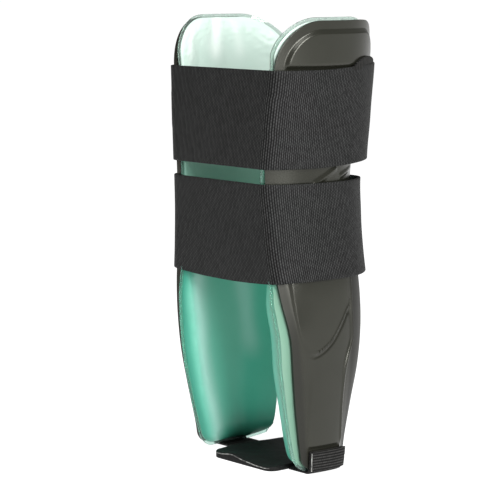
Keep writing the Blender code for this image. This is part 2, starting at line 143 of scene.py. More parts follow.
heel = {
    "padCorner": 0.006, "padCuts": 72, "padRound": 0.0009, "threadRadius": 0.00028,
    # bumps of the pad's top: x, y, half width in x and y, height
    "padBumps": [(-0.004, -0.026, 0.008, 0.012, 0.0017), (-0.0195, -0.004, 0.006, 0.022, 0.0013),
                 (0.012, 0.004, 0.016, 0.016, 0.0006), (0.022, -0.024, 0.010, 0.010, -0.0008)],
    "tabThickness": 0.0014, "tabColumns": 44, "tabPly": 0.0012,
    # side, first y, width, top; the air cell hides the medial one from the front
    "tabs": {"lateral": (1.0, -0.0130, 0.0225, 0.0125), "medial": (-1.0, -0.0040, 0.0200, 0.0105)},
    "tail": (0.0088, 0.0125, 0.0073, 0.0117),
}

patch = {
    "firstY": 0.0115, "lastY": 0.0360, "bottom": 0.2126, "thickness": 0.0012, "columns": 48, "rows": 16,
    # y, height of the top edge
    "top": [(0.0115, 0.2140), (0.0150, 0.2168), (0.0190, 0.2185), (0.0255, 0.2192), (0.0340, 0.2172),
            (0.0360, 0.2158)],
}


# Shape helpers

def smoothStep(low, high, value):
    # low may be the higher one, and the step then falls
    share = min(1.0, max(0.0, (value - low) / (high - low)))
    return share * share * (3.0 - 2.0 * share)


def readTable(table, key):
    key = min(table[-1][0], max(table[0][0], key))
    index = 0
    while index < len(table) - 2 and key > table[index + 1][0]:
        index += 1
    low, high = table[index], table[index + 1]
    before, after = table[max(index - 1, 0)], table[min(index + 2, len(table) - 1)]
    step = high[0] - low[0]
    share = (key - low[0]) / step
    square, cube = share ** 2, share ** 3
    values = []
    for column in range(1, len(low)):
        startSlope = (high[column] - before[column]) / (high[0] - before[0]) * step
        endSlope = (after[column] - low[column]) / (after[0] - low[0]) * step
        values.append((2 * cube - 3 * square + 1) * low[column] + (cube - 2 * square + share) * startSlope
                      + (3 * square - 2 * cube) * high[column] + (cube - square) * endSlope)
    return values


sectionCache = {}


def shellSection(z):
    key = round(z, 6)
    if key not in sectionCache:
        share = (z - shell["lift"]) / shell["height"]
        frontX, frontY, rearX, rearY, crownX = readTable(shell["sections"], share)
        spread, depth = shell["halfSpread"], shell["depth"]
        sectionCache[key] = (frontX * spread, frontY * depth, rearX * spread, rearY * depth, crownX * spread)
    return sectionCache[key]


def faceX(y, z):
    frontX, frontY, rearX, rearY, crownX = shellSection(z)
    crownY = frontY + shell["crownPlace"] * (rearY - frontY)
    if y < crownY:
        return crownX - (crownX - frontX) * min(1.0, (crownY - y) / (crownY - frontY)) ** shell["frontPower"]
    return crownX - (crownX - rearX) * min(1.0, (y - crownY) / (rearY - crownY)) ** shell["rearPower"]


def facePoint(y, z, lift=0.0):
    step = 0.0002
    slope = (faceX(y + step, z) - faceX(y - step, z)) / (2.0 * step)
    length = math.hypot(1.0, slope)
    return Vector((faceX(y, z) + lift / length, y - slope * lift / length, z))


def cornerInset(z, bottom, top, bottomCorner, topCorner):
    if z > top - topCorner:
        rise = min(topCorner, z - (top - topCorner))
        return topCorner - math.sqrt(max(0.0, topCorner ** 2 - rise ** 2))
    if z < bottom + bottomCorner:
        fall = min(bottomCorner, bottom + bottomCorner - z)
        return bottomCorner - math.sqrt(max(0.0, bottomCorner ** 2 - fall ** 2))
    return 0.0


def rowHeight(share, bottom, top, bottomCorner, topCorner):
    # rows crowd together round the corners, so that their arcs stay smooth
    lowShare, highShare = 0.08, 0.80
    if share < lowShare:
        return bottom + bottomCorner * (1.0 - math.cos(math.pi / 2.0 * share / lowShare))
    if share > highShare:
        turn = math.pi / 2.0 * (share - highShare) / (1.0 - highShare)
        return top - topCorner + topCorner * math.sin(turn)
    body = (share - lowShare) / (highShare - lowShare)
    return bottom + bottomCorner + (top - topCorner - bottom - bottomCorner) * body


def shellLimits(z, rearCorner):
    frontY, rearY = shellSection(z)[1], shellSection(z)[3]
    bottom, top, foot = shell["lift"], shell["lift"] + shell["height"], shell["bottomCorner"]
    return (frontY + cornerInset(z, bottom, top, foot, shell["topCorner"]),
            rearY - cornerInset(z, bottom, top, foot, rearCorner))


def outlineDistance(y, z, rearCorner):
    # how far a point of the face lies inside the shell's outline, round its corners too
    _, frontY, _, rearY, _ = shellSection(z)
    front, rear, rise = y - frontY, rearY - y, shell["lift"] + shell["height"] - z
    side, corner = (front, shell["topCorner"]) if front < rear else (rear, rearCorner)
    if side < corner and rise < corner:
        return corner - math.hypot(corner - side, corner - rise)
    return min(side, rise)


def tipDistance(y, z):
    line, step = shell["tipLine"], 0.0005
    slope = (readTable(line, y + step)[0] - readTable(line, y - step)[0]) / (2.0 * step)
    return (z - readTable(line, y)[0]) / math.hypot(1.0, slope)


def slantRidge(y, z):
    height = 0.0
    for firstY, firstZ, lastY, lastZ in shell["slants"]:
        along, up = lastY - firstY, lastZ - firstZ
        share = min(1.0, max(0.0, ((y - firstY) * along + (z - firstZ) * up) / (along ** 2 + up ** 2)))
        distance = math.hypot(y - firstY - along * share, z - firstZ - up * share)
        height = max(height, math.exp(-(distance / shell["slantWidth"]) ** 2))
    return height


def shellRelief(y, z, rearCorner):
    margin, step = shell["panelMargin"], shell["panelStep"]
    ridgeShare, frontShare = readTable(shell["ridgeLine"], (z - shell["lift"]) / shell["height"])
    ridgeY, lowFront = ridgeShare * shell["depth"], frontShare * shell["depth"]
    # the left side of the panel's lower end rises softly, the right side in a crisp step
    tipSoft = step * (1.0 + 2.2 * smoothStep(-0.012, -0.022, y))
    edgeSoft = step * (1.0 + 1.6 * smoothStep(0.2, 0.21, z))
    upper = smoothStep(margin - step, margin - step + edgeSoft, outlineDistance(y, z, rearCorner))
    tip = tipDistance(y, z)
    upper *= smoothStep(0.0, tipSoft, tip)
    lip = math.exp(-((tip - 0.0007) / 0.0007) ** 2) - math.exp(-((tip + 0.0008) / 0.0008) ** 2)
    lip *= smoothStep(-0.020, -0.012, y) * (1.0 - smoothStep(0.0095, 0.0115, y)) * (z < shell["lowerFade"][1])
    low = 1.0 - smoothStep(*shell["lowerFade"], z)
    lower = smoothStep(lowFront - step, lowFront + step, y) * (1.0 - smoothStep(ridgeY - step, ridgeY, y))
    lower *= smoothStep(shell["lowBottom"] - step, shell["lowBottom"] + 0.4 * step, z)
    lower *= 1.0 - smoothStep(shell["lowTop"] - 0.010, shell["lowTop"] + 0.006, z)
    ridge = math.exp(-((y - ridgeY) / shell["ridgeWidth"]) ** 2) * smoothStep(0.012, 0.018, z) * low
    flange = smoothStep(ridgeY, ridgeY + 2.5 * shell["ridgeWidth"], y) * low
    top = smoothStep(*shell["upperFade"], z)
    panels = shell["lowRaise"] * low * max(upper, 0.7 * lower) + shell["topRaise"] * top * upper
    ridges = shell["ridgeRaise"] * ridge + shell["slantRaise"] * slantRidge(y, z)
    return max(panels, ridges) + shell["lip"] * lip - shell["flangeDrop"] * flange


def cellSection(z):
    return readTable(airCell["sections"], (z - shell["lift"]) / shell["height"])


def cellSides(z, shift):
    # outline of the vinyl; the lateral one, which has a shift, ends level with the shell's rear edge
    frontOut, rearOut = cellSection(z)[:2]
    _, frontY, _, rearY, _ = shellSection(z)
    rearOut = min(rearOut, -0.03) if shift else rearOut
    return frontY - frontOut * airCell["round"], rearY + rearOut * airCell["round"]


def cellEnds(inset):
    return airCell["bottomLift"] + inset, shell["lift"] + shell["height"] + airCell["topMargin"] - inset


def cellLimits(z, inset, shift):
    bottom, top = cellEnds(inset)
    firstY, lastY = cellSides(z, shift)
    turns = [cornerInset(z, bottom, top, airCell[corner] - inset, airCell["topCorner"] - inset) + inset
             for corner in ("frontCorner", "rearCorner")]
    return firstY + turns[0], lastY - turns[1]


def rimPlace(y, z, shift):
    # x of the middle of the welded rim, x of the wall behind the pillow, and how far the rim moved out
    frontOut, rearOut, frontIn, rearIn, _ = cellSection(z)
    _, shellFront, _, shellRear, _ = shellSection(z)
    reach = airCell["round"]
    frontY, rearY = shellFront - frontOut * reach, shellRear + rearOut * reach
    wallX = insideX(y, z)
    share = min(1.0, max(0.0, (y - frontY) / (rearY - frontY)))
    depth = (frontIn + (rearIn - frontIn) * share) * reach
    plainX = min(faceX(y, z) - depth, wallX - airCell["rimThickness"])
    low = 1.0 - smoothStep(0.094, 0.112, z)
    rimX = min(plainX + shift * (1.0 - smoothStep(0.0, 0.5, share)) * low, wallX - airCell["rimThickness"])
    return rimX, wallX, rimX - plainX


def insideX(y, z):
    _, frontY, _, rearY, _ = shellSection(z)
    held = min(rearY, max(frontY, y))
    step = 0.0002
    slope = (faceX(held + step, z) - faceX(held - step, z)) / (2.0 * step)
    return faceX(held, z) - (shell["wall"] + airCell["gap"]) * math.hypot(1.0, slope)


# Modelling helpers

def activePiece(name):
    piece = bpy.context.object
    piece.name = name
    piece.data.name = name
    return piece


def pickOnly(piece):
    bpy.ops.object.select_all(action="DESELECT")
    piece.select_set(True)
    bpy.context.view_layer.objects.active = piece


def startGrid(name, columns, rows, place):
    # place(across, up) gives each vertex its point, from shares of the grid
    bpy.ops.object.select_all(action="DESELECT")
    bpy.ops.mesh.primitive_grid_add(x_subdivisions=columns, y_subdivisions=rows, size=1.0)
    piece = activePiece(name)
    for vertex in piece.data.vertices:
        vertex.co = place(vertex.co.x + 0.5, vertex.co.y + 0.5)
    return piece


def useModifier(piece, kind, **settings):
    pickOnly(piece)
    modifier = piece.modifiers.new(kind.lower(), kind)
    for key, value in settings.items():
        setattr(modifier, key, value)
    bpy.ops.object.modifier_apply(modifier=modifier.name)


def bevelEdges(piece, width, segments):
    useModifier(piece, "BEVEL", width=width, segments=segments, limit_method="ANGLE",
                angle_limit=math.radians(60.0))


def editPiece(piece, *steps):
    pickOnly(piece)
    bpy.ops.object.mode_set(mode="EDIT")
    bpy.ops.mesh.select_all(action="SELECT")
    for step in steps:
        step()
    bpy.ops.object.mode_set(mode="OBJECT")


def weldPoints(distance=0.00002):
    return lambda: bpy.ops.mesh.remove_doubles(threshold=distance)


def faceOut():
    bpy.ops.mesh.normals_make_consistent(inside=False)


def turnFaces(piece, outward, index=0):
    # flips the sheet when its face at index looks away from outward
    if piece.data.polygons[index].normal.dot(outward) < 0.0:
        editPiece(piece, lambda: bpy.ops.mesh.flip_normals())


def shadeRound(piece, angle=50.0):
    pickOnly(piece)
    bpy.ops.object.shade_smooth_by_angle(angle=math.radians(angle))


def finishPiece(piece, material, slotName, *nodes):
    piece.data.materials.clear()
    piece.data.materials.append(material)
    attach(piece, "root")
    if nodes:
        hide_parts(*nodes)


# Materials

def newMaterial(name, values):
    material = bpy.data.materials.new(name)
    material.use_nodes = True
    shader = material.node_tree.nodes["Principled BSDF"]
    for socket, value in values.items():
        shader.inputs[socket].default_value = value
    return material, material.node_tree, shader.inputs


def addNode(tree, kind, **settings):
    node = tree.nodes.new(kind)
    for key, value in settings.items():
        setattr(node, key, value)
    return node


def fillInput(tree, socket, value):
    # value is a number, a colour or another node's output
    if isinstance(value, (int, float)):
        socket.default_value = value
    elif isinstance(value, tuple):
        socket.default_value = (*value, 1.0)
    else:
        tree.links.new(value, socket)


def maths(tree, operation, first, second=None):
    node = addNode(tree, "ShaderNodeMath", operation=operation)
    fillInput(tree, node.inputs[0], first)
    if second is not None:
        fillInput(tree, node.inputs[1], second)
    return node.outputs["Value"]


def times(tree, first, second):
    return maths(tree, "MULTIPLY", first, second)


def plus(tree, first, second):
    return maths(tree, "ADD", first, second)


def softRange(tree, value, fromLow, fromHigh, toLow=0.0, toHigh=1.0):
    node = addNode(tree, "ShaderNodeMapRange", interpolation_type="SMOOTHSTEP")
    for name, number in (("Value", value), ("From Min", fromLow), ("From Max", fromHigh), ("To Min", toLow),
                         ("To Max", toHigh)):
        fillInput(tree, node.inputs[name], number)
    return node.outputs["Result"]


def addNoise(tree, scale, detail):
    texture = addNode(tree, "ShaderNodeTexNoise")
    place = addNode(tree, "ShaderNodeTexCoord").outputs["Object"]
    for name, value in (("Vector", place), ("Scale", scale), ("Detail", detail)):
        fillInput(tree, texture.inputs[name], value)
    return texture.outputs["Fac"]


def readPlace(tree, kind):
    split = addNode(tree, "ShaderNodeSeparateXYZ")
    tree.links.new(addNode(tree, "ShaderNodeTexCoord").outputs[kind], split.inputs["Vector"])
    return split.outputs


def openGroup(name, inputs, outputs):
    group = bpy.data.node_groups.new(name, "ShaderNodeTree")
    for side, names in (("INPUT", inputs), ("OUTPUT", outputs)):
        for socket in names:
            group.interface.new_socket(socket, in_out=side, socket_type="NodeSocketFloat")
    return group, addNode(group, "NodeGroupInput").outputs, addNode(group, "NodeGroupOutput").inputs


def makeSpeckleGroup():
    # mottling on object coordinates: Mask is coarse, for colour, and Grain is fine, for bump
    group, entry, leave = openGroup("surfaceSpeckle", ("Fine", "Coarse"), ("Mask", "Grain"))
    group.links.new(addNoise(group, entry["Coarse"], 3.0), leave["Mask"])
    group.links.new(addNoise(group, entry["Fine"], 2.0), leave["Grain"])
    return group


def makeRibGroup():
    # ribbed elastic on a UV map: U runs along the webbing, V across it
    group, entry, leave = openGroup("ribbedElastic", ("Ribs", "Picks"), ("Height", "Speck"))
    place, fullTurn = readPlace(group, "UV"), 2.0 * math.pi
    ribPhase = times(group, place["X"], entry["Ribs"])
    wave = maths(group, "COSINE", times(group, ribPhase, fullTurn))
    rib = plus(group, times(group, wave, 0.5), 0.5)
    ribNumber = maths(group, "FLOOR", plus(group, ribPhase, 0.5))
    shift = times(group, maths(group, "MODULO", ribNumber, 2.0), 0.5)
    pickPhase = plus(group, times(group, place["Y"], entry["Picks"]), shift)
    pickWave = maths(group, "COSINE", times(group, pickPhase, fullTurn))
    pick = plus(group, times(group, pickWave, 0.18), 0.82)
    group.links.new(times(group, rib, pick), leave["Height"])
    # each stitch of the weave has its own shade
    cell = addNode(group, "ShaderNodeCombineXYZ")
    group.links.new(ribNumber, cell.inputs["X"])
    group.links.new(maths(group, "FLOOR", pickPhase), cell.inputs["Y"])
    white = addNode(group, "ShaderNodeTexWhiteNoise", noise_dimensions="2D")
    group.links.new(cell.outputs["Vector"], white.inputs["Vector"])
    group.links.new(white.outputs["Value"], leave["Speck"])
    return group


def makeStreakGroup():
    # a soft upright streak of light on the pillow's own UV map
    group, entry, leave = openGroup("filmStreak", ("Place", "Width", "Low", "High", "Drift"), ("Mask",))
    place, fade = readPlace(group, "UV"), 0.06
    sway = times(group, maths(group, "SUBTRACT", addNoise(group, 22.0, 1.0), 0.5), 0.10)
    middle = plus(group, entry["Place"], times(group, place["Y"], entry["Drift"]))
    offset = maths(group, "SUBTRACT", plus(group, place["X"], sway), middle)
    ratio = maths(group, "DIVIDE", offset, entry["Width"])
    bell = maths(group, "EXPONENT", times(group, times(group, ratio, ratio), -1.0))
    start = softRange(group, place["Y"], entry["Low"], plus(group, entry["Low"], fade))
    lastPart = maths(group, "SUBTRACT", entry["High"], fade)
    stop = softRange(group, place["Y"], lastPart, entry["High"], 1.0, 0.0)
    group.links.new(times(group, bell, times(group, start, stop)), leave["Mask"])
    return group


speckleGroup = makeSpeckleGroup()
ribGroup = makeRibGroup()
streakGroup = makeStreakGroup()


def placeGroup(tree, group, **values):
    node = addNode(tree, "ShaderNodeGroup", node_tree=group)
    for key, value in values.items():
        node.inputs[key].default_value = value
    return node.outputs


def colourRamp(tree, factor, *stops):
    ramp = addNode(tree, "ShaderNodeValToRGB")
    first, last = ramp.color_ramp.elements
    first.position, first.color = stops[0][0], (*stops[0][1], 1.0)
    last.position, last.color = stops[-1][0], (*stops[-1][1], 1.0)
    for position, colour in stops[1:-1]:
        ramp.color_ramp.elements.new(position).color = (*colour, 1.0)
    tree.links.new(factor, ramp.inputs["Fac"])
    return ramp.outputs["Color"]


def mixColour(tree, mask, first, second, blend="MIX"):
    mix = addNode(tree, "ShaderNodeMix", data_type="RGBA", blend_type=blend)
    for name, value in (("Factor", mask), ("A", first), ("B", second)):
        fillInput(tree, mix.inputs[name], value)
    return mix.outputs["Result"]


def addBump(tree, sockets, height, strength, distance):
    bump = addNode(tree, "ShaderNodeBump")
    for name, value in (("Strength", strength), ("Distance", distance), ("Height", height)):
        fillInput(tree, bump.inputs[name], value)
    tree.links.new(bump.outputs["Normal"], sockets["Normal"])


plastic = {
    # flange is the colour of painted shade on the flange behind the ridge and the front strip
    "dark": (0.0090, 0.0093, 0.0066), "light": (0.0140, 0.0143, 0.0105), "flange": (0.0022, 0.0022, 0.0016),
    "rough": (0.20, 0.30), "flangeRough": 0.32,
    # the strips of painted shade, which are also duller, end under the lower strap; y where the rear one
    # starts, and y plus lean times z in front
    "stripTop": (0.104, 0.112), "rearStrip": (0.0095, 0.0150), "frontStrip": (-0.0135, -0.0105),
    "frontLean": 0.156,
    "shader": {"Specular IOR Level": 0.46, "Specular Tint": (1.0, 1.0, 0.90, 1.0)},
}


def shellPlastic():
    material, tree, sockets = newMaterial("shellPlastic", plastic["shader"])
    speckle = placeGroup(tree, speckleGroup, Fine=2600.0, Coarse=28.0)
    colour = colourRamp(tree, speckle["Mask"], (0.30, plastic["dark"]), (0.70, plastic["light"]))
    # painted shade darkens the flange behind the ridge and the strip along the front edge, which are also
    # duller
    place = readPlace(tree, "Object")
    below = softRange(tree, place["Z"], *plastic["stripTop"], 1.0, 0.0)
    behind = times(tree, softRange(tree, place["Y"], *plastic["rearStrip"]), below)
    lean = plus(tree, place["Y"], times(tree, place["Z"], plastic["frontLean"]))
    ahead = times(tree, softRange(tree, lean, *plastic["frontStrip"], 0.85, 0.0), below)
    paintedShadeAndDull = maths(tree, "MAXIMUM", behind, ahead)
    tree.links.new(mixColour(tree, paintedShadeAndDull, colour, plastic["flange"]), sockets["Base Color"])
    rough = softRange(tree, speckle["Mask"], 0.0, 1.0, *plastic["rough"])
    tree.links.new(plus(tree, rough, times(tree, paintedShadeAndDull, plastic["flangeRough"])), sockets["Roughness"])
    addBump(tree, sockets, speckle["Grain"], 0.08, 0.0001)
    return material


film = {
    "height": 0.24,
    # share of the height, colour; the film grows paler towards the top, which is painted light over its own
    # green, and is darker at the very bottom
    "heights": [(0.00, (0.030, 0.240, 0.160)), (0.04, (0.070, 0.390, 0.280)), (0.14, (0.085, 0.430, 0.310)),
                (0.42, (0.075, 0.400, 0.280)), (0.60, (0.230, 0.440, 0.350)), (0.72, (0.270, 0.460, 0.380)),
                (0.86, (0.490, 0.600, 0.540)), (1.00, (0.520, 0.625, 0.570))],
    "lowShadeColour": (0.004, 0.040, 0.022), "lateralColour": (0.170, 0.300, 0.225), "mottle": (0.10, 0.26, 0.19),
    # colour, then place across, width, lowest, highest, drift and strength of each streak
    # the first list is a painted shade streak near the front edge of the medial cell's face
    "paintedShadeStreaks": ((0.035, 0.250, 0.180), [(0.055, 0.075, -0.10, 0.48, 0.0, 0.80)]),
    # the streaks and pale streaks below are painted highlights, soft reflections of the lamps; the pale ones
    # lie on the pale top
    "streaks": ((0.35, 0.62, 0.54), [
        (0.250, 0.095, 0.00, 0.43, -0.02, 0.85), (0.63, 0.050, 0.18, 0.44, 0.0, 0.55),
        (0.95, 0.110, 0.05, 0.44, 0.0, 0.60)]),
    "paleHighlightStreaks": ((0.74, 0.80, 0.76), [
        (0.435, 0.045, 0.78, 1.03, 0.0, 0.75), (0.20, 0.050, 0.78, 0.98, 0.0, 0.55),
        (0.60, 0.030, 0.78, 0.98, 0.0, 0.35)]),
    "shader": {"Roughness": 0.38, "Specular IOR Level": 0.25, "Coat Weight": 0.12, "Coat Roughness": 0.14},
}


def vinylFilm():
    material, tree, sockets = newMaterial("vinylFilm", film["shader"])
    place, facing = readPlace(tree, "Object"), readPlace(tree, "Normal")
    # paler towards the top: painted light over the film's own green
    colour = colourRamp(tree, maths(tree, "DIVIDE", place["Z"], film["height"]), *film["heights"])
    medial = softRange(tree, place["X"], -0.001, 0.001, 1.0, 0.0)
    # painted shade streaks first, then painted highlight streaks
    for kind in ("paintedShadeStreaks", "streaks", "paleHighlightStreaks"):
        target, streaks = film[kind]
        for where, width, low, high, drift, strength in streaks:
            streak = placeGroup(tree, streakGroup, Place=where, Width=width, Low=low, High=high, Drift=drift)
            mask = times(tree, streak["Mask"], strength)
            mask = times(tree, mask, medial) if kind == "paintedShadeStreaks" else mask
            colour = mixColour(tree, mask, colour, target)
    # the lateral one turns its front to the light and is paler
    below = softRange(tree, place["Z"], 0.096, 0.110, 1.0, 0.0)
    lateral = times(tree, softRange(tree, place["X"], -0.001, 0.001), below)
    lateral = times(tree, lateral, softRange(tree, facing["X"], -0.30, 0.05))
    colour = mixColour(tree, lateral, colour, film["lateralColour"])
    # painted shade turns the lower rear corner deep green
    down = softRange(tree, place["Z"], 0.002, 0.026, 1.0, 0.0)
    back = softRange(tree, place["Y"], -0.020, 0.010, 0.0, 0.72)
    colour = mixColour(tree, times(tree, down, back), colour, film["lowShadeColour"])
    speckle = placeGroup(tree, speckleGroup, Fine=900.0, Coarse=70.0)
    colour = mixColour(tree, times(tree, speckle["Mask"], 0.25), colour, film["mottle"], "SOFT_LIGHT")
    tree.links.new(colour, sockets["Base Color"])
    addBump(tree, sockets, speckle["Mask"], 0.25, 0.0006)
    return material


clearFilm = {
    # share of the film's height, colour
    "heights": [(0.0, (0.62, 0.84, 0.76)), (0.12, (0.42, 0.78, 0.66)), (0.60, (0.38, 0.74, 0.62)),
                (0.85, (0.52, 0.64, 0.58)), (1.0, (0.54, 0.66, 0.60))],
    "shader": {"Roughness": 0.10, "Transmission Weight": 0.9, "IOR": 1.42},
}


def clearRim():
    material, tree, sockets = newMaterial("clearRim", clearFilm["shader"])
    share = maths(tree, "DIVIDE", readPlace(tree, "Object")["Z"], film["height"])
    tree.links.new(colourRamp(tree, share, *clearFilm["heights"]), sockets["Base Color"])
    speckle = placeGroup(tree, speckleGroup, Fine=900.0, Coarse=260.0)
    addBump(tree, sockets, speckle["Mask"], 0.25, 0.0006)
    return material


def elasticWeb(name, ribs, picks, dark, light, lift=0.45):
    material, tree, sockets = newMaterial(name, {"Roughness": 0.58, "Specular IOR Level": 0.14})
    rib = placeGroup(tree, ribGroup, Ribs=ribs, Picks=picks)
    speckle = placeGroup(tree, speckleGroup, Fine=1500.0, Coarse=26.0)
    spread = plus(tree, times(tree, rib["Speck"], 0.35), 0.65)
    # lighter rib crests and darker grooves: partly the yarns' own tones, partly painted shade in the grooves
    # and painted light on the crests
    colour = colourRamp(tree, times(tree, rib["Height"], spread), (0.16, dark), (0.95, light))
    worn = tuple(channel * 1.5 for channel in light)
    colour = mixColour(tree, times(tree, speckle["Mask"], 0.35), colour, worn, "SOFT_LIGHT")
    tree.links.new(colour, sockets["Base Color"])
    addBump(tree, sockets, rib["Height"], lift, 0.0003)
    return material


def speckledCloth(name, rough, specular, fine, coarse, output, stops, bumpStrength, bumpDistance):
    material, tree, sockets = newMaterial(name, {"Roughness": rough, "Specular IOR Level": specular})
    speckle = placeGroup(tree, speckleGroup, Fine=fine, Coarse=coarse)
    tree.links.new(colourRamp(tree, speckle[output], *stops), sockets["Base Color"])
    addBump(tree, sockets, speckle["Grain"], bumpStrength, bumpDistance)
    return material


def paddedCloth():
    stops = ((0.3, (0.002, 0.002, 0.002)), (0.75, (0.0075, 0.0075, 0.0072)))
    return speckledCloth("paddedCloth", 0.62, 0.18, 1800.0, 70.0, "Grain", stops, 0.5, 0.0004)


def threadCord():
    stops = ((0.38, (0.05, 0.05, 0.048)), (0.62, (0.30, 0.30, 0.285)))
    return speckledCloth("threadCord", 0.6, 0.5, 1400.0, 420.0, "Mask", stops, 0.4, 0.0002)


# Camera and light

def aimObject(item, target):
    item.rotation_euler = (target - item.location).to_track_quat("-Z", "Y").to_euler()


def aroundPoint(azimuth, elevation, distance):
    turn, rise = math.radians(azimuth), math.radians(elevation)
    flat = math.cos(rise)
    return Vector((math.sin(turn) * flat, -math.cos(turn) * flat, math.sin(rise))) * distance


def setCamera():
    turn = math.radians(studio["azimuth"])
    right = Vector((math.cos(turn), math.sin(turn), 0.0))
    target = right * studio["aimRight"] + Vector((0.0, 0.0, studio["aimHeight"]))
    spot = aroundPoint(studio["azimuth"], studio["elevation"], studio["distance"])
    bpy.ops.object.camera_add(location=target + spot)
    camera = bpy.context.object
    aimObject(camera, target)
    camera.data.sensor_width = studio["sensorWidth"]
    camera.data.lens = studio["focalPixels"] * studio["sensorWidth"] / studio["imageSize"]
    camera.data.clip_start, camera.data.clip_end = 0.01, 100.0
    bpy.context.scene.camera = camera


def setLights():
    centre = Vector((0.0, 0.0, studio["lightCentre"]))
    for name, azimuth, elevation, distance, width, height, watts in studio["lights"]:
        bpy.ops.object.light_add(type="AREA", location=centre + aroundPoint(azimuth, elevation, distance))
        light = bpy.context.object
        light.name = name
        light.data.shape, light.data.size, light.data.size_y = "RECTANGLE", width, height
        light.data.energy = watts
        aimObject(light, centre)
    world = bpy.data.worlds.new("paleRoom")
    world.use_nodes = True
    world.node_tree.nodes["Background"].inputs["Color"].default_value = (*studio["worldColour"], 1.0)
    world.node_tree.nodes["Background"].inputs["Strength"].default_value = studio["worldStrength"]
    bpy.context.scene.world = world
    bpy.context.scene.view_settings.view_transform = "Standard"  # keeps the floor white


def makeFloor():
    bpy.ops.mesh.primitive_plane_add(size=studio["floorSize"])
    floor = activePiece("studioFloor")
    values = {"Base Color": (*studio["floorColour"], 1.0), "Roughness": 1.0, "Specular IOR Level": 0.0,
              "Emission Color": (1.0, 1.0, 1.0, 1.0), "Emission Strength": studio["floorGlow"]}
    floor.data.materials.append(newMaterial("floorPaint", values)[0])


# Pieces

def makeShells():
    top = shell["lift"] + shell["height"]

    def place(across, up):
        z = rowHeight(up, shell["lift"], top, shell["bottomCorner"], shell["topCorner"])
        frontY, rearY = shellLimits(z, corner)
        y = frontY + (rearY - frontY) * across
        point = facePoint(y, z, shellRelief(y, z, corner))
        return Vector((side * point.x, point.y, point.z))

    satin = shellPlastic()
    for side, (word, corner) in zip((1.0, -1.0), shell["rearCorners"].items()):
        piece = startGrid(word + "Shell", shell["columns"], shell["rows"], place)
        turnFaces(piece, Vector((side, 0.0, 0.0)), len(piece.data.polygons) // 2)
        useModifier(piece, "SOLIDIFY", thickness=shell["wall"], offset=-1.0)
        bevelEdges(piece, shell["edgeRound"], 3)
        shadeRound(piece)
        finishPiece(piece, satin, "shell_plastic", word + "_shell")
    print("shells done")


def cellSurface(across, up, shift):
    # a point of the pillow's sheet, with its distance from the weld
    inset = airCell["rim"]
    bottom, top = cellEnds(inset)
    highCorner = airCell["topCorner"] - inset
    z = rowHeight(up, bottom, top, airCell["rearCorner"] - inset, highCorner)
    firstY, lastY = cellLimits(z, inset, shift)
    y = firstY + (lastY - firstY) * (0.5 - 0.5 * math.cos(math.pi * across))
    outlineFirst, outlineLast = cellSides(z, shift)
    front, rear = y - outlineFirst - inset, outlineLast - inset - y
    side = min(front, rear)
    lowCorner = airCell["frontCorner" if front < rear else "rearCorner"] - inset
    rise, fall = top - z, z - bottom
    edge = min(side, rise, fall)
    for limit, reach in ((rise, highCorner), (fall, lowCorner)):
        if side < reach and limit < reach:
            edge = min(edge, reach - math.hypot(reach - side, reach - limit))
    return y, z, max(0.0, edge)


def cellSwell(edge, reach):
    share = min(1.0, edge / reach)
    return math.sqrt(1.0 - (1.0 - share) ** 2)


def cellDents(y, z):
    total = 0.0
    for dentY, dentZ, halfY, halfZ, depth in airCell["dents"]:
        total += depth * math.exp(-((y - dentY) / halfY) ** 2 - ((z - dentZ) / halfZ) ** 2)
    return total


def cellWrinkle(y, z, edge):
    reach = airCell["wrinkleReach"]
    fade = (edge / reach) * math.exp(1.0 - edge / reach) * smoothStep(0.006, 0.03, z)
    broad = noise.noise(Vector((y * 320.0, z * 420.0, 3.0)))
    fine = noise.noise(Vector((y * 900.0, z * 1100.0, 9.0)))
    return airCell["wrinkleHeight"] * fade * (broad + 0.45 * fine)


def cellOutline(inset, count, shift):
    # closed loop of (y, z) points round the vinyl, evenly spaced
    bottom, top = cellEnds(inset)
    corners, steps = (airCell["rearCorner"] - inset, airCell["topCorner"] - inset), 400
    heights = [rowHeight(row / steps, bottom, top, *corners) for row in range(steps + 1)]
    rear = [(cellLimits(z, inset, shift)[1], z) for z in heights]
    front = [(cellLimits(z, inset, shift)[0], z) for z in heights[::-1]]
    loop = rear + front
    lengths = [0.0]
    for first, second in zip(loop, loop[1:] + loop[:1]):
        lengths.append(lengths[-1] + math.hypot(second[0] - first[0], second[1] - first[1]))
    points, low = [], 0
    for step in range(count):
        goal = lengths[-1] * step / count
        while lengths[low + 1] < goal:
            low += 1
        part = (goal - lengths[low]) / max(1e-9, lengths[low + 1] - lengths[low])
        first, second = loop[low % len(loop)], loop[(low + 1) % len(loop)]
        points.append((first[0] + (second[0] - first[0]) * part, first[1] + (second[1] - first[1]) * part))
    return points


def makeRim(name, node, side, shift, material):
    count, rows = airCell["rimColumns"], airCell["rimRows"]
    outline = cellOutline(airCell["beadRadius"], count, shift)
    inside = []
    for index in range(count):
        before, after = outline[index - 1], outline[(index + 1) % count]
        length = math.hypot(after[0] - before[0], after[1] - before[1])
        inside.append((-(after[1] - before[1]) / length, (after[0] - before[0]) / length))

    def place(across, up):
        index = round(across * count) % count
        depth = up * (airCell["rim"] + 0.0004)
        y = outline[index][0] + inside[index][0] * depth
        z = outline[index][1] + inside[index][1] * depth
        ripple = 0.00030 * noise.noise(Vector((y * 260.0, z * 260.0, 5.0))) * (1.0 - up)
        return Vector((side * (rimPlace(y, z, shift)[0] + ripple), y, z))

    rim = startGrid(name, count, rows, place)
    editPiece(rim, weldPoints())
    useModifier(rim, "SOLIDIFY", thickness=airCell["rimThickness"], offset=0.0)
    bevelEdges(rim, 0.0003, 2)
    editPiece(rim, faceOut)
    shadeRound(rim, 60.0)
    finishPiece(rim, material, "vinyl", node)


